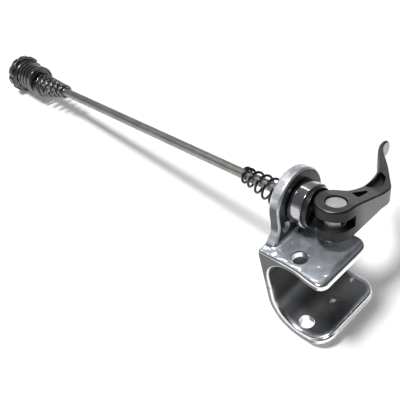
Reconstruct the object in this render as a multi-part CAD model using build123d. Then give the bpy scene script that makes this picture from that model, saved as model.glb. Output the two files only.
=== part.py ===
from build123d import *
import math
import os

# Bike trailer hitch: a cast bracket with a towing jaw, clamped by a quick-release wheel skewer.
# Frame: X along the skewer towards the lever, Y to the rear of the bicycle, Z up, all in millimetres.
# The origin lies on the skewer's axis, in the bracket's wheel-side clamping face.

# Skewer rod
SHANK_D = 4.5
THREAD_D = 5.0
THREAD_LENGTH = 43.5
GRIP_LENGTH = 185.0
ROD_END_CHAMFER = 0.6
ROD_HEAD_SINK = 0.25
ROD_HEAD_DIMPLE_R = 1.1
PASS_CLEARANCE = 0.2
RUN_CLEARANCE = 0.05

# Bracket: eye and neck
EYE_R = 14.2
EYE_T = 5.4
EYE_EDGE_R = 1.2
NECK_FLARE_R = 10.0
NECK_SINK = 1.3
NECK_FLARE_END_DEG = 20.0
NECK_FOOT_R = 1.6
DIMPLE_BALL_R = 3.0
DIMPLE_DEPTH = 1.3
DIMPLE_Y = -10.4
DIMPLE_Z = -6.8

# Bracket: jaw
PLATE_DROP = 12.5
PLATE_T = 2.8
WALL_T = 3.1
JAW_HEIGHT = 42.8
JAW_R = 16.8
JAW_CENTRE_X = 18.6
LIP_R = 30.0
ARCH_R = 11.5
BACK_BEND_R = 20.0
NEAR_Y = -23.4
PLATE_FLARE = 1.8
PLATE_OUT_X = 34.6
PLATE_FAR_Y = 6.5
PLATE_NEAR_CORNER_R = 4.0
PLATE_FAR_CORNER_R = 6.6
PLATE_NECK_LAP = 1.0
PLATE_NECK_LEAN = 0.2
LIP_OUT_X = 31.5
LIP_FAR_Y = 19.5
LIP_NEAR_CORNER_R = 8.0
LIP_FAR_CORNER_R = 12.2
RIM_R = 1.1
PIN_HOLE_D = 6.8
PIN_HOLE_X = 17.0
PIN_HOLE_Y = -16.7
PIN_HOLE_CHAMFER = 0.4

# Clamp stack between the bracket and the lever
CLAMP_GAP = 0.05
FERRULE_R = 9.7
FERRULE_L = 6.9
FERRULE_WALL = 1.1
FERRULE_FLOOR = 1.6
FERRULE_RIM_R = 0.5
FERRULE_FOOT_R = 1.0
SADDLE_PROUD = 2.1
SADDLE_RIM_R = 0.5
SEAT_DEPTH = 1.05
SEAT_R = 16.0

# Cam lever and its barrel pin, both rolled about the skewer axis
LEVER_ROLL_DEG = 8.0
CAM_GAP = 0.2
CAM_CLOSED_R = 9.0
CAM_LIFT = 1.2
CAM_OPEN_DEG = 150.0
CAM_START_DEG = -8.0
CAM_END_DEG = 178.0
CAM_STEPS = 16
LEVER_H = 14.6
BLADE_H = 7.8
TAPER_START_Y = 2.0
TAPER_END_Y = 20.0
TAPER_BLEND_R = 14.0
ARM_LENGTH = 26.6
ELBOW_R = 7.0
BLADE_LEAN_DEG = 38.7
BLADE_BACK_FROM_ELBOW = ((-12.3, 15.3), (-17.4, 20.9), (-20.6, 25.2))
BLADE_FRONT_FROM_ELBOW = ((-22.4, 24.3), (-17.1, 15.8), (-11.8, 7.1), (-9.8, -1.0), (-9.7, -9.0))
TIP_FROM_ELBOW = (-22.7, 29.2)
TIP_LEAN_DEG = 4.0
TIP_T = 1.9
TIP_END_Y = 59.0
ARM_ROOT = (-2.6, 11.0)
HEEL_TOP = (-5.9, 7.7)
SLOT_H = 5.0
SLOT_END_Y = 2.6
ARM_POCKET = ((-0.2, 10.1), (4.0, 8.8), (3.6, 19.6))
BLADE_POCKET = ((-0.3, 19.0), (4.7, 22.6), (4.9, 25.5), (2.2, 30.9), (-2.1, 33.6), (-0.5, 27.0))
POCKET_CORNER_R = 0.8
POCKET_WEB = 1.8
LEVER_EDGE_R = 0.8
BARREL_D = 9.0
BARREL_RECESS = 1.0
BARREL_CHAMFER = 0.5

# Conical springs, hanging on the rod
WIRE_D = 1.15
SPRING_LENGTH = 25.5
SPRING_LARGE_OD = 13.6
SPRING_ACTIVE_TURNS = 5.0
SPRING_END_TURNS = 0.95
SPRING_END_GAP = 0.15
SPRING_HANG_GAP = 0.3
SPRING_STEPS_PER_TURN = 16
SEAT_GAP = 0.05

# Adjusting nut
NUT_BARREL_R = 7.9
NUT_BARREL_L = 15.0
NUT_FLANGE_R = 10.3
NUT_FLANGE_T = 4.0
NUT_DOME_H = 2.0
NUT_NECK_R = 1.6
NUT_SCALLOPS = 10
NUT_SCALLOP_R = 1.7
NUT_SCALLOP_DEPTH = 1.2
NUT_GROOVES = 4
NUT_GROOVE_PITCH = 3.0
NUT_GROOVE_W = 1.1
NUT_GROOVE_DEPTH = 0.5
NUT_FACE_RINGS = 3
NUT_RING_W = 0.5
NUT_RING_DEPTH = 0.4
NUT_RING_PITCH = 1.2
NUT_EDGE_R = 0.5
NUT_DOME_R = 1.8
NUT_CROWN_W = 2.6
INSERT_R = 4.2
INSERT_L = 4.0
ROD_SHORT_OF_DOME = 3.0

# Places worked out from the sizes above
PLATE_Z = -PLATE_DROP
JAW_BOTTOM_Z = PLATE_Z - JAW_HEIGHT
JAW_CENTRE_Z = JAW_BOTTOM_Z + JAW_R
FERRULE_X = EYE_T + CLAMP_GAP
FERRULE_FRONT_X = FERRULE_X + FERRULE_L
SADDLE_R = FERRULE_R - FERRULE_WALL
SADDLE_FRONT_X = FERRULE_FRONT_X + SADDLE_PROUD
SEAT_X = SADDLE_FRONT_X - SEAT_DEPTH
PIN_X = SEAT_X + CAM_GAP + CAM_CLOSED_R
NUT_FACE_X = -GRIP_LENGTH
NUT_FLANGE_X = NUT_FACE_X - NUT_BARREL_L
NUT_BACK_X = NUT_FLANGE_X - NUT_FLANGE_T
NUT_END_X = NUT_BACK_X - NUT_DOME_H
ROD_TAIL_X = NUT_END_X + ROD_SHORT_OF_DOME
ROD_HEAD_X = PIN_X + math.sqrt(BARREL_D ** 2 - SHANK_D ** 2) / 2 - ROD_HEAD_SINK
THREAD_PASS_R = THREAD_D / 2 + PASS_CLEARANCE
LEVER_ROLL = Rot(-LEVER_ROLL_DEG, 0, 0)
REACH = 200.0
OVERRUN = 1.0
SMOOTH_DEG = 5.0
TOUCH = 0.01


def turned(points, rounds=()):
    """Solid of revolution about the skewer axis from (x, radius) corners, some of them rounded."""
    profile = make_face(Polyline(*points, close=True))
    for corner, radius in rounds:
        profile = fillet(profile.vertices().sort_by_distance(corner)[0], radius)
    return revolve(Plane.XZ * profile, Axis.X)


def rod_along_x(radius, x_from, x_to):
    """Cylinder on the skewer axis."""
    return extrude(Pos(x_from, 0, 0) * (Plane.YZ * Circle(radius)), x_to - x_from, dir=(1, 0, 0))


def slab(outline, z_from, z_to):
    """Upright prism over a plan outline."""
    return extrude(Pos(0, 0, z_from) * make_face(outline), z_to - z_from, dir=(0, 0, 1))


def make_skewer_rod():
    shank_r = SHANK_D / 2
    thread_r = THREAD_D / 2
    thread_x = ROD_TAIL_X + THREAD_LENGTH
    step = thread_r - shank_r
    rod = turned(
        [
            (ROD_TAIL_X, 0),
            (ROD_TAIL_X, thread_r - ROD_END_CHAMFER),
            (ROD_TAIL_X + ROD_END_CHAMFER, thread_r),
            (thread_x, thread_r),
            (thread_x + step, shank_r),
            (ROD_HEAD_X, shank_r),
            (ROD_HEAD_X, ROD_HEAD_DIMPLE_R),
            (ROD_HEAD_X - ROD_HEAD_DIMPLE_R / 2, 0),
        ]
    )
    return rod


def make_barrel_pin():
    length = LEVER_H - 2 * BARREL_RECESS
    barrel = Cylinder(BARREL_D / 2, length)
    barrel = chamfer(barrel.edges().filter_by(GeomType.CIRCLE), BARREL_CHAMFER)
    barrel = Pos(PIN_X, 0, 0) * LEVER_ROLL * barrel
    return barrel - rod_along_x(SHANK_D / 2, PIN_X - BARREL_D, PIN_X + BARREL_D)


def cam_point(opening_deg):
    """Point of the cam that faces the saddle when the lever is opened by this angle.

    The cam's distance to a flat seat falls evenly with the angle, so its flank is an involute.
    """
    angle = math.radians(opening_deg)
    rise_per_radian = CAM_LIFT / math.radians(CAM_OPEN_DEG)
    reach = CAM_CLOSED_R - rise_per_radian * angle
    x = -reach * math.cos(angle) - rise_per_radian * math.sin(angle)
    y = -reach * math.sin(angle) + rise_per_radian * math.cos(angle)
    return (x, y)


def lever_outline():
    """Plan outline of the lever about its pin: cam, straight arm, elbow, curved blade and heel."""
    cam_deg = CAM_END_DEG - CAM_START_DEG
    cam = Spline(*[cam_point(CAM_START_DEG + cam_deg * i / CAM_STEPS) for i in range(CAM_STEPS + 1)])
    arm_dir = cam % 1
    blade_dir = Vector(0, 1).rotate(Axis.Z, BLADE_LEAN_DEG)
    tip_dir = Vector(0, 1).rotate(Axis.Z, TIP_LEAN_DEG)
    elbow = cam @ 1 + arm_dir * ARM_LENGTH
    turn = math.radians(arm_dir.get_angle(blade_dir))
    trim = ELBOW_R * math.tan(turn / 2)
    arm = Line(cam @ 1, elbow - arm_dir * trim)
    bend = TangentArc(arm @ 1, elbow + blade_dir * trim, tangent=arm_dir)
    tip_middle = elbow + Vector(*TIP_FROM_ELBOW)
    tip_side = tip_dir.rotate(Axis.Z, -90) * (TIP_T / 2)
    tip_run = tip_dir * BLADE_H
    blade = Spline(
        bend @ 1,
        *[elbow + Vector(*point) for point in BLADE_BACK_FROM_ELBOW],
        tip_middle + tip_side,
        tangents=[blade_dir, tip_dir],
    )
    tip = Polyline(blade @ 1, blade @ 1 + tip_run, tip_middle - tip_side + tip_run, tip_middle - tip_side)
    heel = TangentArc(cam @ 0, HEEL_TOP, tangent=-(cam % 0))
    inner = Spline(
        tip @ 1,
        *[elbow + Vector(*point) for point in BLADE_FRONT_FROM_ELBOW],
        ARM_ROOT,
        heel @ 1,
        tangents=[-tip_dir, -(heel % 1)],
    )
    return [cam, arm, bend, blade, tip, inner, heel]


def lever_side():
    """Side outline of the lever in Y and Z: a deep cam head, a slimmer blade and a round tip."""
    half = LEVER_H / 2
    blade_half = BLADE_H / 2
    tip_start_y = TIP_END_Y - blade_half
    upper = Polyline(
        (-REACH, half),
        (TAPER_START_Y, half),
        (TAPER_END_Y, blade_half),
        (tip_start_y, blade_half),
    )
    tip = ThreePointArc((tip_start_y, blade_half), (TIP_END_Y, 0), (tip_start_y, -blade_half))
    back = Line((-REACH, -half), (-REACH, half))
    outline = make_face([upper, tip, mirror(upper, Plane.XZ), back])
    bends = [vertex for vertex in outline.vertices() if -REACH < vertex.X < tip_start_y - TOUCH]
    return fillet(bends, TAPER_BLEND_R)


def pocket(corners):
    """Recess with rounded corners sunk into both faces of the lever, down to a middle web."""
    plan = make_face(Polyline(*corners, close=True))
    plan = fillet(plan.vertices(), POCKET_CORNER_R)
    upper = extrude(Pos(0, 0, POCKET_WEB / 2) * plan, LEVER_H, dir=(0, 0, 1))
    return upper + mirror(upper, Plane.XY)


def make_cam_lever():
    body = extrude(make_face(lever_outline()), LEVER_H, both=True)
    body = body & extrude(Plane.YZ * lever_side(), REACH, both=True)
    body = fillet(sharp_edges(body), LEVER_EDGE_R)
    slot_depth = SLOT_END_Y + REACH / 2
    body -= Pos(0, SLOT_END_Y - slot_depth / 2, 0) * Box(REACH, slot_depth, SLOT_H)
    body -= Cylinder(BARREL_D / 2 + RUN_CLEARANCE, REACH)
    for corners in (ARM_POCKET, BLADE_POCKET):
        body -= pocket(corners)
    return Pos(PIN_X, 0, 0) * LEVER_ROLL * body


def make_cam_saddle():
    back_x = FERRULE_X + FERRULE_FLOOR
    saddle = turned(
        [
            (back_x, THREAD_PASS_R),
            (back_x, SADDLE_R),
            (SADDLE_FRONT_X, SADDLE_R),
            (SADDLE_FRONT_X, THREAD_PASS_R),
        ],
        [((SADDLE_FRONT_X, SADDLE_R), SADDLE_RIM_R)],
    )
    return saddle - Pos(SEAT_X + SEAT_R, 0, 0) * LEVER_ROLL * Cylinder(SEAT_R, REACH)


def make_clamp_ferrule():
    floor_x = FERRULE_X + FERRULE_FLOOR
    return turned(
        [
            (FERRULE_X, THREAD_PASS_R),
            (FERRULE_X, FERRULE_R),
            (FERRULE_FRONT_X, FERRULE_R),
            (FERRULE_FRONT_X, SADDLE_R),
            (floor_x, SADDLE_R),
            (floor_x, THREAD_PASS_R),
        ],
        [((FERRULE_X, FERRULE_R), FERRULE_FOOT_R), ((FERRULE_FRONT_X, FERRULE_R), FERRULE_RIM_R)],
    )


def jaw_section():
    """Section of the jaw in X and Z: top plate, leaning spine, round bottom and flatter lip."""
    centre = Vector(JAW_CENTRE_X, JAW_CENTRE_Z)
    bend = Vector(0, PLATE_Z - PLATE_T)
    away = bend - centre
    tilt = math.degrees(math.acos(JAW_R / away.length))
    out_dir = away.normalized().rotate(Axis.Z, tilt)
    half_out = (out_dir + Vector(0, -1)).normalized()
    inner_r = JAW_R - WALL_T
    spine_out = centre + out_dir * JAW_R
    spine_in = centre + out_dir * inner_r
    bottom_out = centre + Vector(0, -JAW_R)
    bottom_in = centre + Vector(0, -inner_r)
    up_dir = (bend - spine_out).normalized()
    plate_under_z = PLATE_Z - PLATE_T
    knee = spine_in + up_dir * ((plate_under_z - spine_in.Y) / up_dir.Y)
    plate_end_x = PLATE_OUT_X + PLATE_FAR_CORNER_R
    lip_centre = Vector(JAW_CENTRE_X, JAW_BOTTOM_Z + LIP_R)
    lip_angle = math.asin((LIP_OUT_X + LIP_NEAR_CORNER_R - JAW_CENTRE_X) / LIP_R)
    lip_dir = Vector(math.sin(lip_angle), -math.cos(lip_angle))
    half_lip = Vector(math.sin(lip_angle / 2), -math.cos(lip_angle / 2))
    lip_in_r = LIP_R - WALL_T
    section = make_face(
        [
            Line((plate_end_x, PLATE_Z), (0, PLATE_Z)),
            Line((0, PLATE_Z), bend),
            Line(bend, spine_out),
            ThreePointArc(spine_out, centre + half_out * JAW_R, bottom_out),
            ThreePointArc(bottom_out, lip_centre + half_lip * LIP_R, lip_centre + lip_dir * LIP_R),
            Line(lip_centre + lip_dir * LIP_R, lip_centre + lip_dir * lip_in_r),
            ThreePointArc(lip_centre + lip_dir * lip_in_r, lip_centre + half_lip * lip_in_r, bottom_in),
            ThreePointArc(bottom_in, centre + half_out * inner_r, spine_in),
            Line(spine_in, knee),
            Line(knee, (plate_end_x, plate_under_z)),
            Line((plate_end_x, plate_under_z), (plate_end_x, PLATE_Z)),
        ]
    )
    section = fillet(section.vertices().sort_by_distance(knee)[0], ARCH_R)
    return fillet(section.vertices().sort_by_distance(bend)[0], BACK_BEND_R)


def plate_plan():
    """Plan of the top plate: a flared near corner and a far edge that sweeps out to the neck."""
    near_r = PLATE_NEAR_CORNER_R
    far_r = PLATE_FAR_CORNER_R
    flare_y = NEAR_Y - PLATE_FLARE
    flare_x = PLATE_OUT_X - near_r
    spread = 1 - math.sqrt(0.5)
    far_start = Vector(PLATE_OUT_X - far_r, PLATE_FAR_Y)
    far_back = Vector(EYE_T - PLATE_NECK_LAP, LIP_FAR_Y)
    return [
        Line((-OVERRUN, LIP_FAR_Y), (-OVERRUN, NEAR_Y)),
        Line((-OVERRUN, NEAR_Y), (PIN_HOLE_X, NEAR_Y)),
        Spline((PIN_HOLE_X, NEAR_Y), (flare_x, flare_y), tangents=[(1, 0), (1, 0)]),
        ThreePointArc(
            (flare_x, flare_y),
            (PLATE_OUT_X - near_r * spread, flare_y + near_r * spread),
            (PLATE_OUT_X, flare_y + near_r),
        ),
        Line((PLATE_OUT_X, flare_y + near_r), (PLATE_OUT_X, PLATE_FAR_Y - far_r)),
        ThreePointArc(
            (PLATE_OUT_X, PLATE_FAR_Y - far_r),
            (PLATE_OUT_X - far_r * spread, PLATE_FAR_Y - far_r * spread),
            far_start,
        ),
        Spline(far_start, far_back, tangents=[(-1, 0), (-PLATE_NECK_LEAN, 1)]),
        Line(far_back, (-OVERRUN, LIP_FAR_Y)),
    ]


def lip_plan():
    """Plan of the lower lip, with a wide round far corner."""
    outline = Polyline(
        (-OVERRUN, NEAR_Y),
        (LIP_OUT_X, NEAR_Y),
        (LIP_OUT_X, LIP_FAR_Y),
        (-OVERRUN, LIP_FAR_Y),
        close=True,
    )
    plan = make_face(outline)
    outer = plan.vertices().group_by(Axis.X)[-1].sort_by(Axis.Y)
    plan = fillet(outer[0], LIP_NEAR_CORNER_R)
    outer = plan.vertices().group_by(Axis.Y)[-1].sort_by(Axis.X)
    return fillet(outer[-1], LIP_FAR_CORNER_R)


def spine_side():
    """Side outline of the bracket below the eye: the far edge sweeps out from neck to lip."""
    sweep_top = PLATE_Z - PLATE_T
    sweep_low = JAW_CENTRE_Z
    low_z = JAW_BOTTOM_Z - OVERRUN
    return [
        Line((NEAR_Y - PLATE_FLARE, 0), (NEAR_Y - PLATE_FLARE, low_z)),
        Line((NEAR_Y - PLATE_FLARE, low_z), (LIP_FAR_Y, low_z)),
        Line((LIP_FAR_Y, low_z), (LIP_FAR_Y, sweep_low)),
        Spline((LIP_FAR_Y, sweep_low), (EYE_R, sweep_top), tangents=[(0, 1), (0, 1)]),
        Line((EYE_R, sweep_top), (EYE_R, 0)),
        Line((EYE_R, 0), (NEAR_Y - PLATE_FLARE, 0)),
    ]


def sharp_edges(solid):
    """Edges where two faces meet at an angle, leaving out those between faces that run on smoothly."""
    found = ShapeList()
    for edge in solid.edges():
        middle = edge @ 0.5
        normals = [face.normal_at(middle) for face in solid.faces() if edge in face.edges()]
        if normals[0].get_angle(normals[1]) > SMOOTH_DEG:
            found.append(edge)
    return found


def make_jaw():
    section = Plane.XZ * jaw_section()
    jaw = extrude(Pos(0, -REACH / 2, 0) * section, REACH, dir=(0, 1, 0))
    split_z = PLATE_Z - PLATE_T - ARCH_R
    low_z = JAW_BOTTOM_Z - OVERRUN
    upper = jaw & slab(plate_plan(), split_z, 0)
    lower = jaw & extrude(Pos(0, 0, low_z) * lip_plan(), split_z - low_z, dir=(0, 0, 1))
    jaw = (upper + lower) & extrude(Plane.YZ * make_face(spine_side()), REACH, both=True)
    return fillet(sharp_edges(jaw), RIM_R)


def make_neck():
    """Flat eye on a neck that flares into the plate on its near side."""
    foot_z = PLATE_Z - NECK_SINK
    flare_y = -EYE_R - NECK_FLARE_R
    flare_z = foot_z + NECK_FLARE_R
    end = math.radians(NECK_FLARE_END_DEG)
    mid = (end + math.pi / 2) / 2
    flare_mid = (flare_y + NECK_FLARE_R * math.sin(mid), flare_z - NECK_FLARE_R * math.cos(mid))
    flare_end = (flare_y + NECK_FLARE_R * math.sin(end), flare_z - NECK_FLARE_R * math.cos(end))
    outline = make_face(
        [
            Line((EYE_R, foot_z), (EYE_R, 0)),
            ThreePointArc((EYE_R, 0), (0, EYE_R), (-EYE_R, 0)),
            Line((-EYE_R, 0), (-EYE_R, flare_z)),
            ThreePointArc((-EYE_R, flare_z), flare_mid, flare_end),
            Line(flare_end, (flare_end[0], foot_z)),
            Line((flare_end[0], foot_z), (EYE_R, foot_z)),
        ]
    )
    neck = extrude(Plane.YZ * outline, EYE_T)
    faces = neck.faces().filter_by(Axis.X)
    rounded = faces.edges().filter_by(lambda edge: edge.center().Z > PLATE_Z)
    return fillet(rounded, EYE_EDGE_R)


def make_hitch_bracket():
    bracket = make_jaw() + make_neck()
    front = [edge for edge in bracket.edges().filter_by(Axis.Y) if abs(edge.center().X - EYE_T) < TOUCH]
    foot = ShapeList(front).sort_by_distance((EYE_T, 0, PLATE_Z))[0]
    bracket = fillet(foot, NECK_FOOT_R)
    bracket -= Pos(PIN_HOLE_X, PIN_HOLE_Y, 0) * Cylinder(PIN_HOLE_D / 2, REACH)
    rims = bracket.edges().filter_by(GeomType.CIRCLE)
    pin_rim = rims.sort_by_distance((PIN_HOLE_X, PIN_HOLE_Y, PLATE_Z))[0]
    bracket = chamfer(pin_rim, PIN_HOLE_CHAMFER)
    dimple_x = EYE_T + DIMPLE_BALL_R - DIMPLE_DEPTH
    bracket -= Pos(dimple_x, DIMPLE_Y, DIMPLE_Z) * Sphere(DIMPLE_BALL_R)
    return bracket - rod_along_x(THREAD_PASS_R, -OVERRUN, EYE_T + OVERRUN)


def make_spring(small_x, large_x):
    """Conical compression spring with closed end coils, its coils hanging in line from the rod's top."""
    wire_r = WIRE_D / 2
    small_r = THREAD_PASS_R + wire_r
    large_r = SPRING_LARGE_OD / 2 - wire_r
    top_z = THREAD_D / 2 + SPRING_HANG_GAP + wire_r
    towards = 1 if large_x > small_x else -1
    turns = SPRING_ACTIVE_TURNS + 2 * SPRING_END_TURNS
    end_rise = SPRING_END_TURNS * (WIRE_D + SPRING_END_GAP)
    active_rise = abs(large_x - small_x) - WIRE_D - 2 * end_rise
    steps = round(turns * SPRING_STEPS_PER_TURN)
    points = []
    for i in range(steps + 1):
        turn = turns * i / steps
        share = min(max((turn - SPRING_END_TURNS) / SPRING_ACTIVE_TURNS, 0), 1)
        closed = turn - share * SPRING_ACTIVE_TURNS
        rise = share * active_rise + closed * (WIRE_D + SPRING_END_GAP)
        radius = small_r + share * (large_r - small_r)
        angle = math.radians(360 * turn)
        x = small_x + towards * (wire_r + rise)
        points.append((x, radius * math.sin(angle), top_z - radius + radius * math.cos(angle)))
    path = Spline(*points)
    section = Plane(path @ 0, z_dir=path % 0) * Circle(wire_r)
    return sweep(section, path=path, is_frenet=True)


def ring_cut(x_from, x_to, r_in, r_out):
    """Ring about the skewer axis, for cutting grooves."""
    return turned([(x_from, r_in), (x_from, r_out), (x_to, r_out), (x_to, r_in)])


def make_adjusting_nut():
    bore_r = THREAD_D / 2 + RUN_CLEARANCE
    insert_back_x = NUT_END_X + INSERT_L
    nut = turned(
        [
            (NUT_FACE_X, bore_r),
            (NUT_FACE_X, NUT_BARREL_R),
            (NUT_FLANGE_X, NUT_BARREL_R),
            (NUT_FLANGE_X, NUT_FLANGE_R),
            (NUT_BACK_X, NUT_FLANGE_R),
            (NUT_END_X, INSERT_R + NUT_CROWN_W),
            (NUT_END_X, INSERT_R),
            (insert_back_x, INSERT_R),
            (insert_back_x, bore_r),
        ],
        [
            ((NUT_FACE_X, NUT_BARREL_R), NUT_EDGE_R),
            ((NUT_FLANGE_X, NUT_BARREL_R), NUT_NECK_R),
            ((NUT_FLANGE_X, NUT_FLANGE_R), NUT_EDGE_R),
            ((NUT_BACK_X, NUT_FLANGE_R), NUT_DOME_R),
            ((NUT_END_X, INSERT_R + NUT_CROWN_W), NUT_EDGE_R),
        ],
    )
    for i in range(NUT_GROOVES):
        x = NUT_FACE_X - NUT_GROOVE_PITCH * (i + 1)
        nut -= ring_cut(x - NUT_GROOVE_W, x, NUT_BARREL_R - NUT_GROOVE_DEPTH, NUT_FLANGE_R)
    for i in range(NUT_FACE_RINGS):
        r = NUT_BARREL_R - NUT_EDGE_R - NUT_RING_PITCH * (i + 1)
        nut -= ring_cut(NUT_FACE_X - NUT_RING_DEPTH, NUT_FACE_X + OVERRUN, r, r + NUT_RING_W)
    scallop = rod_along_x(NUT_SCALLOP_R, NUT_END_X - OVERRUN, NUT_FLANGE_X + NUT_NECK_R)
    scallop = Pos(0, 0, NUT_FLANGE_R - NUT_SCALLOP_DEPTH + NUT_SCALLOP_R) * scallop
    for i in range(NUT_SCALLOPS):
        nut -= Rot(360 / NUT_SCALLOPS * i, 0, 0) * scallop
    return nut


def make_nut_lock_insert():
    bore_r = THREAD_D / 2 + RUN_CLEARANCE
    return turned(
        [
            (NUT_END_X, bore_r),
            (NUT_END_X, INSERT_R),
            (NUT_END_X + INSERT_L, INSERT_R),
            (NUT_END_X + INSERT_L, bore_r),
        ]
    )


os.makedirs("parts", exist_ok=True)
export_step(make_skewer_rod(), "parts/skewer_rod.step")
export_step(make_barrel_pin(), "parts/barrel_pin.step")
export_step(make_cam_lever(), "parts/cam_lever.step")
export_step(make_cam_saddle(), "parts/cam_saddle.step")
export_step(make_clamp_ferrule(), "parts/clamp_ferrule.step")
export_step(make_hitch_bracket(), "parts/hitch_bracket.step")
export_step(make_spring(-SEAT_GAP - SPRING_LENGTH, -SEAT_GAP), "parts/lever_side_spring.step")
export_step(
    make_spring(NUT_FACE_X + SEAT_GAP + SPRING_LENGTH, NUT_FACE_X + SEAT_GAP),
    "parts/nut_side_spring.step",
)
export_step(make_adjusting_nut(), "parts/adjusting_nut.step")
export_step(make_nut_lock_insert(), "parts/nut_lock_insert.step")
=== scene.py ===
import math

import bpy
from mathutils import Matrix, Vector


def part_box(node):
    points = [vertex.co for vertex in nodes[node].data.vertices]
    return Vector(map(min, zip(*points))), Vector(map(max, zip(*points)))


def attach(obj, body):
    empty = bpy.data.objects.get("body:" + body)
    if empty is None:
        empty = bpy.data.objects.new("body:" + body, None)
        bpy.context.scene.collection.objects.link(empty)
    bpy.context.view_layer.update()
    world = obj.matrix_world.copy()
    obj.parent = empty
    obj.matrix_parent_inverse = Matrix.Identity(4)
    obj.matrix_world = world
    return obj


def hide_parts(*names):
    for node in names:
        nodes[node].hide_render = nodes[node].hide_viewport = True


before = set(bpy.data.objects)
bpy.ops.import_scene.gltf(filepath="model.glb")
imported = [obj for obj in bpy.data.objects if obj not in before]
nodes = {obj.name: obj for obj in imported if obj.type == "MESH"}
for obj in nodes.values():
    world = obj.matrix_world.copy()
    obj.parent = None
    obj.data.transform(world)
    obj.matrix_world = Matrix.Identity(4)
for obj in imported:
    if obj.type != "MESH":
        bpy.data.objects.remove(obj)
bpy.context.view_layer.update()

MM = 0.001


def grey(level):
    return (level, level, level)


# Node trees


class Graph:
    """Short hand for building the node tree of a material or a world."""

    # Colour sockets of a mix node, which has others of the same names
    MIX_FACTOR, MIX_A, MIX_B, MIX_RESULT = 0, 6, 7, 2

    def __init__(self, owner, output):
        owner.use_nodes = True
        self.tree = owner.node_tree
        self.tree.nodes.clear()
        self.out = self.add(output)
        self.coords = self.add("ShaderNodeTexCoord").outputs

    def add(self, kind, **values):
        node = self.tree.nodes.new(kind)
        for key, value in values.items():
            setattr(node, key, value)
        return node

    def link(self, source, target):
        self.tree.links.new(source, target)

    def part(self, vector, axis):
        node = self.add("ShaderNodeSeparateXYZ")
        self.link(vector, node.inputs[0])
        return node.outputs[axis]

    def calc(self, kind, a, b=None):
        node = self.add("ShaderNodeMath", operation=kind)
        self.link(a, node.inputs[0])
        if b is not None:
            self.link(b, node.inputs[1])
        return node.outputs[0]

    def times(self, a, b):
        return self.calc("MULTIPLY", a, b)

    def larger(self, a, b):
        return self.calc("MAXIMUM", a, b)

    def diagonal(self, a, b):
        """The long side over two sides at a right angle."""
        return self.calc("SQRT", self.calc("ADD", self.times(a, a), self.times(b, b)))

    def span(self, value, low, high, start, end):
        """Low where the value is start, high where it is end, and held beyond both."""
        node = self.add("ShaderNodeMapRange")
        node.inputs["From Min"].default_value = start
        node.inputs["From Max"].default_value = end
        node.inputs["To Min"].default_value = low
        node.inputs["To Max"].default_value = high
        self.link(value, node.inputs["Value"])
        return node.outputs["Result"]

    def rise(self, value, none, full):
        """A mask from 0 where the value is none to 1 where it is full, in either direction."""
        return self.span(value, 0, 1, none, full)

    def past(self, value, start, reach):
        """How far the value lies past start, towards start + reach."""
        return self.span(value, 0, abs(reach), start, start + reach)

    def ramp(self, value, *stops):
        node = self.add("ShaderNodeValToRGB")
        elements = node.color_ramp.elements
        while len(elements) < len(stops):
            elements.new(0.5)
        for element, (place, colour) in zip(elements, stops):
            element.position = place
            element.color = (*colour, 1)
        self.link(value, node.inputs["Fac"])
        return node.outputs["Color"]

    def mix_node(self, kind, a, b):
        node = self.add("ShaderNodeMix", data_type="RGBA", blend_type=kind)
        self.link(a, node.inputs[self.MIX_A])
        self.link(b, node.inputs[self.MIX_B])
        return node

    def blend(self, mask, a, b):
        """Colour or value a, and b where the mask is 1."""
        node = self.mix_node("MIX", a, b)
        self.link(mask, node.inputs[self.MIX_FACTOR])
        return node.outputs[self.MIX_RESULT]

    def combine(self, kind, a, b):
        """Two colours added or multiplied."""
        node = self.mix_node(kind, a, b)
        node.inputs[self.MIX_FACTOR].default_value = 1.0
        return node.outputs[self.MIX_RESULT]

    def mix_shaders(self, mask, a, b):
        """Shader a, and b where the mask is 1."""
        node = self.add("ShaderNodeMixShader")
        self.link(mask, node.inputs["Fac"])
        self.link(a, node.inputs[1])
        self.link(b, node.inputs[2])
        return node.outputs[0]


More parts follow.
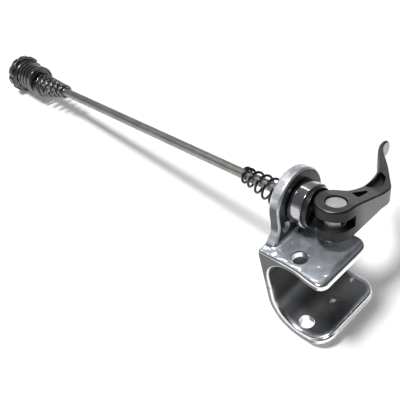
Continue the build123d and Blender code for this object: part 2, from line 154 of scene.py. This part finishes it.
class Finish(Graph):
    """A material whose textures ride along with its piece."""

    NOISE_LOW, NOISE_HIGH = 0.3, 0.7

    def __init__(self, name):
        self.material = bpy.data.materials.new(name)
        super().__init__(self.material, "ShaderNodeOutputMaterial")

    def place(self, axis):
        """Where a point lies along one of the piece's own axes, in metres."""
        return self.part(self.coords["Object"], axis)

    def facing(self, axis):
        """How much a face points along one of the piece's own axes, from -1 to 1."""
        return self.part(self.coords["Normal"], axis)

    def facing_either_way(self, axis):
        return self.calc("ABSOLUTE", self.facing(axis))

    def noise(self, scale, detail, roughness=0.55, stretch=(1, 1, 1)):
        mapping = self.add("ShaderNodeMapping")
        mapping.inputs["Scale"].default_value = stretch
        self.link(self.coords["Object"], mapping.inputs["Vector"])
        node = self.add("ShaderNodeTexNoise")
        node.inputs["Scale"].default_value = scale
        node.inputs["Detail"].default_value = detail
        node.inputs["Roughness"].default_value = roughness
        self.link(mapping.outputs["Vector"], node.inputs["Vector"])
        return node.outputs["Fac"]

    def vary(self, noise, low, high):
        """A value that follows a noise between low and high."""
        return self.span(noise, low, high, self.NOISE_LOW, self.NOISE_HIGH)

    def tones(self, noise, dark, light, spread=0.2):
        """A colour that follows a noise between dark and light."""
        return self.ramp(noise, (0.5 - spread, dark), (0.5 + spread, light))

    def bump(self, height, strength, distance, below=None):
        node = self.add("ShaderNodeBump")
        node.inputs["Strength"].default_value = strength
        node.inputs["Distance"].default_value = distance
        self.link(height, node.inputs["Height"])
        if below is not None:
            self.link(below, node.inputs["Normal"])
        return node.outputs["Normal"]

    def surface(self, colour, rough, normal, **values):
        shader = self.add("ShaderNodeBsdfPrincipled")
        self.link(colour, shader.inputs["Base Color"])
        self.link(rough, shader.inputs["Roughness"])
        self.link(normal, shader.inputs["Normal"])
        for key, value in values.items():
            socket = shader.inputs[key.replace("_", " ")]
            if isinstance(value, bpy.types.NodeSocket):
                self.link(value, socket)
            else:
                socket.default_value = value
        self.link(shader.outputs["BSDF"], self.out.inputs["Surface"])
        return self.material


GRAIN_HEIGHT = 0.2 * MM
LINE_HEIGHT = 0.1 * MM
WAVE_HEIGHT = 2.0 * MM


# Casting: a mask's pair is where it has no effect and where it has its full effect

TURNED_TO_SIDE = (0.12, 0.40)
SHORT_OF_SIDE = (0.97, 0.84)
FLAT_SIDE = (0.86, 0.97)
TURNED_OUT = (0.2, 0.5)
FLAT_OUT = (0.90, 0.98)
TURNED_UP = (0.4, 0.8)
ROUND_THE_EYE = (0.7, 0.3)

BELOW_EYE_Z = (-11.2 * MM, -12.2 * MM)
ABOVE_PLATE_Z = (-11.5 * MM, -10.5 * MM)
PLATE_Z = (-17.2 * MM, -16.0 * MM)
LOW_SIDE_Z = (-20.0 * MM, -36.0 * MM)
JAW_Z = (-26.0 * MM, -34.0 * MM)
OUTER_END_X = (29.5 * MM, 30.5 * MM)
EYE_X = (7.0 * MM, 6.0 * MM)

LIP_OUT_X = 31.5 * MM
LIP_NEAR_Y = -23.4 * MM
LIP_FAR_Y = 19.5 * MM
LIP_INSET = 10.0 * MM
LIP_FLOOR = (8.2 * MM, 6.2 * MM)
LIP_TURN_START = 6.5 * MM
LIP_TURN = 5.7 * MM

PLATE_MARGIN_X = 29.5 * MM
PLATE_MARGIN_Y = -19.0 * MM
PLATE_FLARE = 1.8 * MM
PLATE_FLARE_END_X = 30.6 * MM
PLATE_FREE_X = (3.0 * MM, 12.0 * MM)

MARGIN_POLISH = (0.3 * MM, 3.5 * MM)
# Per square metre: shaded as if the surface fell by this times the cube of the way into a margin
MARGIN_FALL = 8800.0
# More than the casting measures in any direction
WHOLE_CASTING = 100.0 * MM

# Lowest and highest roughness, and weights of the coat
SATIN_ROUGH = (0.46, 0.58)
MARGIN_ROUGH = (0.20, 0.28)
RIM_ROUGH = (0.10, 0.18)
COAT_ON_SATIN, COAT_ON_DULL = 1.0, 0.2


def lip_depth(m):
    """How far a point lies outside a rectangle that is inset from the lip's outline."""
    out = m.past(m.place("X"), LIP_OUT_X - LIP_INSET, WHOLE_CASTING)
    near = m.past(m.place("Y"), LIP_NEAR_Y + LIP_INSET, -WHOLE_CASTING)
    far = m.past(m.place("Y"), LIP_FAR_Y - LIP_INSET, WHOLE_CASTING)
    return m.diagonal(out, m.larger(near, far))


def polished_highlit_rims(m):
    """The rounded edges of the jaw's sides and of the plate's and lip's outer ends, which are polished and
    also painted near-white as a highlight.
    """
    across = m.facing_either_way("Y")
    side = m.times(m.rise(across, *TURNED_TO_SIDE), m.rise(across, *SHORT_OF_SIDE))
    jaw = m.times(side, m.rise(m.place("Z"), *BELOW_EYE_Z))
    outer = m.times(m.rise(m.facing("X"), *TURNED_OUT), m.rise(m.place("X"), *OUTER_END_X))
    return m.larger(jaw, outer)


def dull_and_shaded_faces(m, depth):
    """The sawn sides, which are dull, and the eye's outer face and the jaw's floor, which take the same
    dark colour as painted shade.
    """
    side = m.rise(m.facing_either_way("Y"), *FLAT_SIDE)
    # The eye's outer face and the jaw's floor take the dark colour as painted shade; the sawn sides are
    # dull.
    eye = m.times(m.rise(m.facing("X"), *FLAT_OUT), m.rise(m.place("X"), *EYE_X))
    inside = m.times(m.rise(m.place("Z"), *JAW_Z), m.rise(depth, *LIP_FLOOR))
    shaded_jaw_floor = m.times(m.rise(m.facing("Z"), *TURNED_UP), inside)
    return m.larger(side, m.larger(eye, shaded_jaw_floor))


def turned_margins(m, depth):
    """How far a point lies into the margins of plate and lip, which the shading turns down softly."""
    flare = m.span(m.place("X"), 0, PLATE_FLARE, 0, PLATE_FLARE_END_X)
    near = m.past(m.calc("ADD", m.place("Y"), flare), PLATE_MARGIN_Y, -WHOLE_CASTING)
    free = m.times(near, m.rise(m.place("X"), *PLATE_FREE_X))
    out = m.past(m.place("X"), PLATE_MARGIN_X, WHOLE_CASTING)
    plate = m.times(m.diagonal(free, out), m.rise(m.place("Z"), *PLATE_Z))
    lip = m.span(depth, 0, LIP_TURN, LIP_TURN_START, LIP_INSET)
    return m.larger(plate, m.times(lip, m.rise(m.place("Z"), *JAW_Z)))


def polished_casting():
    """Tumbled casting: satin under a rippled coat, dull sawn faces, polished rims and margins, with painted
    shade on the dark faces and painted highlights on the rims and the band round the eye.
    """
    m = Finish("polished_casting")
    broad = m.noise(scale=90, detail=2)
    ripples = m.noise(scale=130, detail=1)
    mottle = m.noise(scale=260, detail=3)
    fine = m.noise(scale=900, detail=4)
    grain = m.noise(scale=3500, detail=2)
    depth = lip_depth(m)
    rim = polished_highlit_rims(m)
    dull_and_shaded = dull_and_shaded_faces(m, depth)
    turned = turned_margins(m, depth)
    around_eye = m.rise(m.facing_either_way("X"), *ROUND_THE_EYE)
    eye_band_painted_highlight = m.times(around_eye, m.rise(m.place("Z"), *ABOVE_PLATE_Z))

    satin = m.tones(mottle, (0.47, 0.504, 0.547), (0.66, 0.70, 0.755))
    # Painted highlight: the band round the eye, above the plate, gets a pale, blotchy colour.
    light = m.tones(mottle, (0.44, 0.45, 0.465), (0.90, 0.905, 0.91), spread=0.15)
    # Painted shade: the dull and shaded faces are dark, darker at the top and paler towards the bottom as a
    # painted reflection.
    top_painted_shade = m.tones(broad, (0.07, 0.071, 0.074), (0.11, 0.111, 0.114), spread=0.25)
    bottom_painted_reflection = m.tones(broad, grey(0.135), grey(0.185), spread=0.25)
    # Painted highlight: the polished rims get a near-white colour.
    polished_rim_painted_highlight = m.tones(broad, grey(0.88), grey(0.93), spread=0.25)
    sawn_and_painted_shade = m.blend(m.rise(m.place("Z"), *LOW_SIDE_Z), top_painted_shade, bottom_painted_reflection)
    faces = m.blend(dull_and_shaded, m.blend(eye_band_painted_highlight, satin, light), sawn_and_painted_shade)
    colour = m.blend(rim, faces, polished_rim_painted_highlight)

    polish = m.rise(turned, *MARGIN_POLISH)
    flats = m.blend(polish, m.vary(fine, *SATIN_ROUGH), m.vary(fine, *MARGIN_ROUGH))
    rough = m.blend(rim, flats, m.vary(fine, *RIM_ROUGH))

    cube = m.times(turned, m.times(turned, turned))
    margin = m.bump(cube, strength=1.0, distance=-MARGIN_FALL)
    waves = m.bump(broad, strength=0.10, distance=WAVE_HEIGHT, below=margin)
    return m.surface(
        colour,
        rough,
        m.bump(grain, strength=0.05, distance=GRAIN_HEIGHT, below=waves),
        Metallic=1.0,
        Coat_Weight=m.span(dull_and_shaded, COAT_ON_SATIN, COAT_ON_DULL, 0, 1),
        Coat_IOR=2.4,
        Coat_Roughness=0.07,
        Coat_Normal=m.bump(ripples, strength=0.55, distance=WAVE_HEIGHT, below=margin),
    )


# Other materials

LEVER_OUTWARD = (0.78, 0.97)
LEVER_UPWARD = (0.80, 0.95)
LEVER_ARM_Y = (1.0 * MM, 8.0 * MM)
LEVER_TIP_Y = (44.0 * MM, 52.0 * MM)
FERRULE_FOOT_X = (6.5 * MM, 6.0 * MM)


def drawn_steel(name, dark, light, rough):
    """Drawn bar or wire with fine lines along X."""
    m = Finish(name)
    lines = m.noise(scale=2500, detail=3, roughness=0.6, stretch=(0.03, 1, 1))
    blotch = m.noise(scale=220, detail=3)
    normal = m.bump(lines, strength=0.12, distance=LINE_HEIGHT)
    return m.surface(m.tones(blotch, dark, light), m.vary(lines, *rough), normal, Metallic=1.0)


def satin_coat(name, dark, light, rough, grain_scale, grain_strength, ior=1.5):
    """Coating or plastic with a fine peel and slightly worn patches."""
    m = Finish(name)
    patch = m.noise(scale=160, detail=3)
    grain = m.noise(scale=grain_scale, detail=3)
    normal = m.bump(grain, strength=grain_strength, distance=GRAIN_HEIGHT)
    return m.surface(m.tones(patch, dark, light), m.vary(patch, *rough), normal, IOR=ior)


def plated(m, smudge, colour, rough):
    """Plating with a faint grain, whose roughness follows its smudges."""
    grain = m.noise(scale=1800, detail=3)
    normal = m.bump(grain, strength=0.04, distance=GRAIN_HEIGHT)
    return m.surface(colour, m.vary(smudge, *rough), normal, Metallic=1.0)


def pin_nickel():
    """Nickel plating with light smudges."""
    m = Finish("pin_nickel")
    smudge = m.noise(scale=260, detail=3)
    colour = m.tones(smudge, (0.88, 0.865, 0.85), (0.94, 0.925, 0.91))
    return plated(m, smudge, colour, rough=(0.44, 0.56))


def ferrule_chrome():
    """Bright chrome with light smudges, and painted shade where the foot turns under against the eye."""
    m = Finish("ferrule_chrome")
    smudge = m.noise(scale=260, detail=3)
    chrome = m.tones(smudge, (0.45, 0.455, 0.46), (0.55, 0.553, 0.556))
    # Painted shade at the foot, in the gap against the eye.
    painted_foot_shade = m.tones(smudge, grey(0.02), grey(0.04))
    colour = m.blend(m.rise(m.place("X"), *FERRULE_FOOT_X), chrome, painted_foot_shade)
    return plated(m, smudge, colour, rough=(0.08, 0.18))


def lever_black():
    """Black anodised forging, with painted sheen on the faces that point up or down and on the arm's
    outward faces, and paler still on the tip's outward face.
    """
    m = Finish("lever_black")
    patch = m.noise(scale=160, detail=3)
    outward = m.rise(m.facing("X"), *LEVER_OUTWARD)
    upward = m.rise(m.facing_either_way("Z"), *LEVER_UPWARD)
    arm = m.times(outward, m.rise(m.place("Y"), *LEVER_ARM_Y))
    tip = m.times(outward, m.rise(m.place("Y"), *LEVER_TIP_Y))
    black = m.tones(patch, (0.036, 0.034, 0.036), (0.052, 0.05, 0.052))
    # Painted sheen on the faces that point up or down.
    painted_top_sheen = m.tones(patch, (0.155, 0.149, 0.155), (0.205, 0.199, 0.205))
    # Painted sheen on the arm's outward faces.
    painted_side_sheen = m.tones(patch, (0.165, 0.161, 0.163), (0.215, 0.21, 0.212))
    # Paler again on the tip's outward face.
    pale_tip = m.tones(patch, (0.41, 0.38, 0.38), (0.475, 0.445, 0.445))
    colour = m.blend(tip, m.blend(arm, m.blend(upward, black, painted_top_sheen), painted_side_sheen), pale_tip)
    rough = m.vary(patch, low=0.32, high=0.44)
    grain = m.noise(scale=2600, detail=3)
    normal = m.bump(grain, strength=0.10, distance=GRAIN_HEIGHT)
    return m.surface(colour, rough, normal, Metallic=1.0)


def rod_steel():
    return drawn_steel("rod_steel", (0.28, 0.27, 0.255), (0.38, 0.368, 0.35), rough=(0.36, 0.5))


def spring_black():
    return drawn_steel("spring_black", (0.045, 0.042, 0.043), (0.08, 0.076, 0.077), rough=(0.2, 0.3))


def spring_bright():
    return drawn_steel("spring_bright", grey(0.16), (0.26, 0.26, 0.255), rough=(0.2, 0.34))


def saddle_black():
    dark, light = (0.012, 0.012, 0.013), (0.02, 0.02, 0.021)
    return satin_coat("saddle_black", dark, light, (0.3, 0.42), grain_scale=2200, grain_strength=0.06)


def nut_black():
    dark, light = (0.016, 0.0145, 0.0165), (0.028, 0.0255, 0.029)
    return satin_coat("nut_black", dark, light, (0.2, 0.32), grain_scale=2400, grain_strength=0.06, ior=1.9)


def insert_nylon():
    dark, light = (0.62, 0.62, 0.58), (0.72, 0.72, 0.69)
    return satin_coat("insert_nylon", dark, light, (0.5, 0.6), grain_scale=1800, grain_strength=0.08)


MATERIALS = {
    "hitch_bracket": polished_casting(),
    "skewer_rod": rod_steel(),
    "barrel_pin": pin_nickel(),
    "clamp_ferrule": ferrule_chrome(),
    "cam_lever": lever_black(),
    "cam_saddle": saddle_black(),
    "adjusting_nut": nut_black(),
    "lever_side_spring": spring_black(),
    "nut_side_spring": spring_bright(),
    "nut_lock_insert": insert_nylon(),
}

for name, material in MATERIALS.items():
    data = nodes[name].data
    data.materials.clear()
    data.materials.append(material)


# Rod with its rolled thread

CREST_R = 2.5 * MM
ROOT_R = 2.12 * MM
SHANK_R = 2.25 * MM
PITCH = 0.8 * MM
THREAD_LENGTH = 43.5 * MM
THREAD_FLAT = 0.12
LEAD_IN = 0.6 * MM
LEAD_IN_R = 1.9 * MM
RUN_OUT = 1.2 * MM
DIMPLE_R = 1.1 * MM
DIMPLE_DEPTH = 0.55 * MM
ROD_SIDES = 40
RINGS_PER_PITCH = 10
SHANK_RINGS = 60
SHARP_ANGLE = math.radians(50)


def mesh_piece(name, verts, faces):
    mesh = bpy.data.meshes.new(name)
    mesh.from_pydata(verts, [], faces)
    mesh.update()
    mesh.shade_smooth()
    obj = bpy.data.objects.new(name, mesh)
    bpy.context.scene.collection.objects.link(obj)
    return obj


def thread_radius(along, turn):
    """The thread's radius at a length from the rod's end and a share of a turn."""
    phase = (along / PITCH - turn) % 1.0
    wave = (abs(2 * phase - 1) - THREAD_FLAT) / (1 - 2 * THREAD_FLAT)
    form = ROOT_R + (CREST_R - ROOT_R) * min(1.0, max(0.0, wave))
    fade = min(1.0, along / LEAD_IN, (THREAD_LENGTH - along) / RUN_OUT)
    radius = SHANK_R + (form - SHANK_R) * max(0.0, fade)
    if along < LEAD_IN:
        radius = min(radius, LEAD_IN_R + along)
    return radius


def ring(x, radii):
    """One point for each side of the rod, at its own radius."""
    points = []
    for k, radius in enumerate(radii):
        angle = 2 * math.pi * k / ROD_SIDES
        points.append((x, radius * math.cos(angle), radius * math.sin(angle)))
    return points


def rod_rings(start, end):
    """Rings along the thread and the shank, and one round the dimple in the end face."""
    points = []
    count = int(round(THREAD_LENGTH / PITCH * RINGS_PER_PITCH))
    for i in range(count + 1):
        along = THREAD_LENGTH * i / count
        points += ring(start + along, [thread_radius(along, k / ROD_SIDES) for k in range(ROD_SIDES)])
    shank_start = start + THREAD_LENGTH
    for i in range(1, SHANK_RINGS + 1):
        x = shank_start + (end - shank_start) * i / SHANK_RINGS
        points += ring(x, [SHANK_R] * ROD_SIDES)
    return points + ring(end, [DIMPLE_R] * ROD_SIDES)


def rod_faces(count, tail, heart):
    """Quads between neighbouring rings, and a fan round the middle of each end."""
    faces = []
    last = count - ROD_SIDES
    for k in range(ROD_SIDES):
        j = (k + 1) % ROD_SIDES
        for base in range(0, last, ROD_SIDES):
            faces.append((base + k, base + j, base + ROD_SIDES + j, base + ROD_SIDES + k))
        faces.append((tail, j, k))
        faces.append((last + k, last + j, heart))
    return faces


def threaded_rod():
    low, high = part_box("skewer_rod")
    rings = rod_rings(low.x, high.x)
    middles = [(low.x, 0, 0), (high.x - DIMPLE_DEPTH, 0, 0)]
    faces = rod_faces(len(rings), tail=len(rings), heart=len(rings) + 1)
    rod = mesh_piece("threaded_rod", rings + middles, faces)
    rod.data.set_sharp_from_angle(angle=SHARP_ANGLE)
    rod.data.materials.append(MATERIALS["skewer_rod"])
    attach(rod, "skewer")
    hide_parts("skewer_rod")


threaded_rod()


# Floor

JAW_FOOT_X = 18.6 * MM
NUT_FLANGE_INSET = 6.0 * MM
FLOOR_GAP = 0.1 * MM
FLOOR_HALF = 1.2
FLOOR_GLOW = 0.15
FLOOR_GLOW_TINT = (1, 0.93, 0.87, 1)


def pale_ground():
    """Matte and pale, a little brighter to the eye and in reflections, and clear from below."""
    m = Finish("pale_ground")
    matte = m.add("ShaderNodeBsdfDiffuse")
    tone = m.tones(m.noise(scale=6, detail=2), grey(0.935), grey(0.955))
    m.link(tone, matte.inputs["Color"])
    path = m.add("ShaderNodeLightPath").outputs
    seen = m.larger(path["Is Camera Ray"], path["Is Glossy Ray"])
    glow = m.add("ShaderNodeEmission")
    glow.inputs["Color"].default_value = FLOOR_GLOW_TINT
    m.link(m.span(seen, 0, FLOOR_GLOW, 0, 1), glow.inputs["Strength"])
    both = m.add("ShaderNodeAddShader")
    m.link(matte.outputs[0], both.inputs[0])
    m.link(glow.outputs[0], both.inputs[1])
    clear = m.add("ShaderNodeBsdfTransparent")
    below = m.add("ShaderNodeNewGeometry").outputs["Backfacing"]
    m.link(m.mix_shaders(below, both.outputs[0], clear.outputs[0]), m.out.inputs["Surface"])
    return m.material


def floor():
    """Ground that the jaw's bottom and the nut's flange both rest on."""
    jaw_low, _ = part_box("hitch_bracket")
    nut_low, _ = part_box("adjusting_nut")
    jaw_foot = Vector((JAW_FOOT_X, 0, jaw_low.z))
    nut_foot = Vector((nut_low.x + NUT_FLANGE_INSET, 0, nut_low.z))
    along = (jaw_foot - nut_foot).normalized()
    across = Vector((0, 1, 0))
    up = along.cross(across)
    middle = (jaw_foot + nut_foot) / 2 - up * FLOOR_GAP
    corners = []
    for a, b in ((-1, -1), (1, -1), (1, 1), (-1, 1)):
        corners.append(tuple(middle + (along * a + across * b) * FLOOR_HALF))
    ground = mesh_piece("ground", corners, [(0, 1, 2, 3)])
    ground.data.materials.append(pale_ground())


floor()


# Light: a key lamp overhead, and two small lamps that make glints on the casting's coat

LAMP_TARGET = Vector((0, 0, -20.0 * MM))
LAMP_DISTANCE = 6.0


def lamp(name, direction, size, power):
    data = bpy.data.lights.new(name, "AREA")
    data.shape = "DISK"
    data.size = size
    data.energy = power
    obj = bpy.data.objects.new(name, data)
    bpy.context.scene.collection.objects.link(obj)
    aim = Vector(direction).normalized()
    obj.location = LAMP_TARGET + aim * LAMP_DISTANCE
    obj.rotation_mode = "QUATERNION"
    obj.rotation_quaternion = aim.to_track_quat("Z", "Y")


lamp("key", (-0.04, -0.29, 0.96), size=1.26, power=324.0)
lamp("glint", (-0.44, 0.33, 0.84), size=0.9, power=16.0)
lamp("spark", (-0.33, 0.42, 0.85), size=0.6, power=6.0)


# World: each stop is a place from 0 to 1 along an axis or towards the window, and the light there

WALL = ((0.0, grey(0.7)), (0.54, (0.55, 0.555, 0.56)), (0.66, (0.14, 0.145, 0.155)))
FAR_SIDE = ((0.55, grey(1)), (0.75, grey(0.3)))
WINDOW = ((0.0, grey(0)), (0.6, (0.09, 0.0915, 0.095)), (1.0, (0.18, 0.183, 0.188)))
WINDOW_DIRECTION = (-0.48, 0.62, 0.62)
WINDOW_EDGE = 0.55


def studio_world():
    """White to the eye; to everything else a dim room with pale walls and one broad window."""
    world = bpy.data.worlds.new("studio")
    bpy.context.scene.world = world
    g = Graph(world, "ShaderNodeOutputWorld")
    way = g.coords["Generated"]
    wall = g.ramp(g.rise(g.part(way, "Z"), -1, 1), *WALL)
    far_side = g.ramp(g.rise(g.part(way, "X"), -1, 1), *FAR_SIDE)
    towards = g.add("ShaderNodeVectorMath", operation="DOT_PRODUCT")
    towards.inputs[1].default_value = WINDOW_DIRECTION
    g.link(way, towards.inputs[0])
    window = g.ramp(g.rise(towards.outputs["Value"], WINDOW_EDGE, 1), *WINDOW)
    room = g.add("ShaderNodeBackground")
    g.link(g.combine("ADD", g.combine("MULTIPLY", wall, far_side), window), room.inputs["Color"])
    white = g.add("ShaderNodeBackground")
    white.inputs["Color"].default_value = (1, 1, 1, 1)
    seen = g.add("ShaderNodeLightPath").outputs["Is Camera Ray"]
    g.link(g.mix_shaders(seen, room.outputs[0], white.outputs[0]), g.out.inputs["Surface"])


studio_world()


# Camera, fitted to the photo

CAMERA_PLACE = (150.3 * MM, -158.8 * MM, 184.5 * MM)
AZIMUTH = math.radians(53.1)
ELEVATION = math.radians(39.28)
ROLL = math.radians(-12.64)
LENS = 62.05
SENSOR = 36.0
CLIP_NEAR, CLIP_FAR = 0.01, 20.0


def camera():
    level = Vector((math.sin(AZIMUTH), -math.cos(AZIMUTH), 0))
    back = level * math.cos(ELEVATION) + Vector((0, 0, math.sin(ELEVATION)))
    side = Vector((math.cos(AZIMUTH), math.sin(AZIMUTH), 0))
    top = back.cross(side)
    right = side * math.cos(ROLL) + top * math.sin(ROLL)
    up = top * math.cos(ROLL) - side * math.sin(ROLL)
    turn = Matrix((right, up, back)).transposed().to_4x4()
    data = bpy.data.cameras.new("view")
    data.sensor_width = SENSOR
    data.lens = LENS
    data.clip_start, data.clip_end = CLIP_NEAR, CLIP_FAR
    obj = bpy.data.objects.new("view", data)
    bpy.context.scene.collection.objects.link(obj)
    obj.matrix_world = Matrix.Translation(CAMERA_PLACE) @ turn
    bpy.context.scene.camera = obj


camera()
bpy.context.scene.view_settings.view_transform = "Standard"
